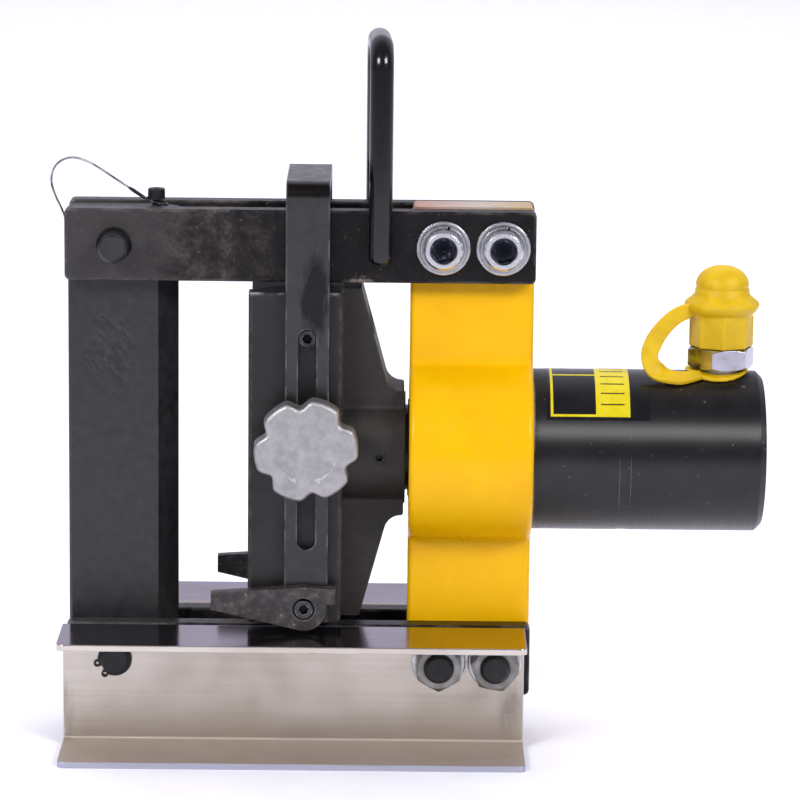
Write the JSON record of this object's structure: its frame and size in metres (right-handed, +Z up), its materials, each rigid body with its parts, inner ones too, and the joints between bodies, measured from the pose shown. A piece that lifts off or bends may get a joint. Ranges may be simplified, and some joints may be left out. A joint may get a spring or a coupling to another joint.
{
  "type": "hydraulic busbar bender",
  "caption": "Bench hydraulic busbar bender: a ram pushes a vee die at a fixed bending post in a black bar frame, with stirrup support, lock pin, carrying handle and capped coupler.",
  "frame": {"origin": "on the floor under the middle of the machine's box, lanyard left out", "axes": "+X along the ram towards the closed end of the cylinder, +Y to the back (the knob is in front), +Z up"},
  "size_m": [0.3998, 0.152, 0.4008],
  "materials": {
    "foot_zinc": "bright zinc plated sheet steel",
    "black_bar": "satin black paint",
    "post_black": "satin black finish with worn edges",
    "yellow_paint": "glossy yellow paint",
    "black_tube": "glossy black paint",
    "zinc_hardware": "zinc plated",
    "black_oxide": "black oxide",
    "bare_steel": "bare machined steel",
    "handle_steel": "satin black enamel on round bar",
    "die_steel": "dark heat treated steel",
    "strap_steel": "blackened strip with scuffs",
    "spring_steel": "oiled spring steel",
    "bronze": "turned bronze",
    "rubber": "seal rubber",
    "cream_seal": "cream sealing washer",
    "knob_aluminium": "cast aluminium",
    "yellow_vinyl": "soft yellow vinyl",
    "wire_steel": "stranded steel wire",
    "ferrule_black": "black sleeved crimp"
  },
  "bodies": {
    "frame": {"front_base_channel": "foot_zinc", "rear_base_channel": "foot_zinc", "front_lower_bar": "black_bar", "rear_lower_bar": "black_bar", "front_top_rail": "black_bar", "rear_top_rail": "black_bar", "bending_post": "post_black", "post_pivot_pin": "black_oxide", "pivot_pin_circlips": "black_oxide", "cylinder_head": "yellow_paint", "top_frame_bolts": "zinc_hardware", "top_bolt_washers": "zinc_hardware", "top_bolt_spring_washers": "zinc_hardware", "top_bolt_nuts": "zinc_hardware", "base_frame_bolts": "black_oxide", "base_bolt_washers": "zinc_hardware", "base_bolt_nuts": "zinc_hardware", "carry_handle": "handle_steel", "handle_weld_beads": "handle_steel", "cylinder_tube": "black_tube", "tube_o_ring": "rubber", "rod_wiper": "rubber", "rod_bush": "bronze", "rod_seal": "rubber", "spring_seat": "bare_steel", "return_spring": "spring_steel", "coupler_nipple": "zinc_hardware", "coupler_valve": "bare_steel", "coupler_seal_washer": "cream_seal", "dust_cap_strap": "yellow_vinyl", "lanyard_anchor_screw": "black_oxide", "lanyard_anchor_eye": "ferrule_black", "lanyard_wire": "wire_steel"},
    "ram_carriage": {"ram": "bare_steel", "piston": "bare_steel", "piston_seal": "rubber", "piston_wear_ring": "cream_seal", "piston_nut": "bare_steel", "die_carrier": "die_steel", "carrier_set_screw": "black_oxide", "vee_die": "die_steel", "die_screws": "black_oxide", "guide_screws": "black_oxide", "clamp_stud": "bare_steel"},
    "stirrup": {"height_stirrup": "strap_steel", "front_support_finger": "strap_steel", "rear_support_finger": "strap_steel", "finger_screws": "black_oxide"},
    "knob": {"clamp_knob": "knob_aluminium", "knob_washer": "zinc_hardware"},
    "lock_pin": {"lock_pin": "black_oxide", "lanyard_pin_eye": "ferrule_black"},
    "dust_cap": {"dust_cap": "yellow_vinyl"}
  },
  "joints": [
    {"name": "ram_stroke", "type": "slide", "parent": "frame", "child": "ram_carriage", "axis": [-1, 0, 0], "range_m": [0, 0.05], "stiffness_N_per_m": 1500, "deforming": ["return_spring"]},
    {"name": "stirrup_height", "type": "slide", "parent": "ram_carriage", "child": "stirrup", "axis": [0, 0, 1], "range_m": [0, 0.05]},
    {"name": "knob_turn", "type": "hinge", "parent": "ram_carriage", "child": "knob", "pos_m": [-0.059, -0.05, 0.1765], "axis": [0, -1, 0], "range_deg": [0, 360]},
    {"name": "lock_pin_pull", "type": "slide", "parent": "frame", "child": "lock_pin", "axis": [0, 1, 0], "range_m": [0, 0.067], "deforming": ["lanyard_wire"]},
    {"name": "dust_cap_pull", "type": "slide", "parent": "frame", "child": "dust_cap", "axis": [0, 0, 1], "range_m": [0, 0.04], "deforming": ["dust_cap_strap"]}
  ]
}
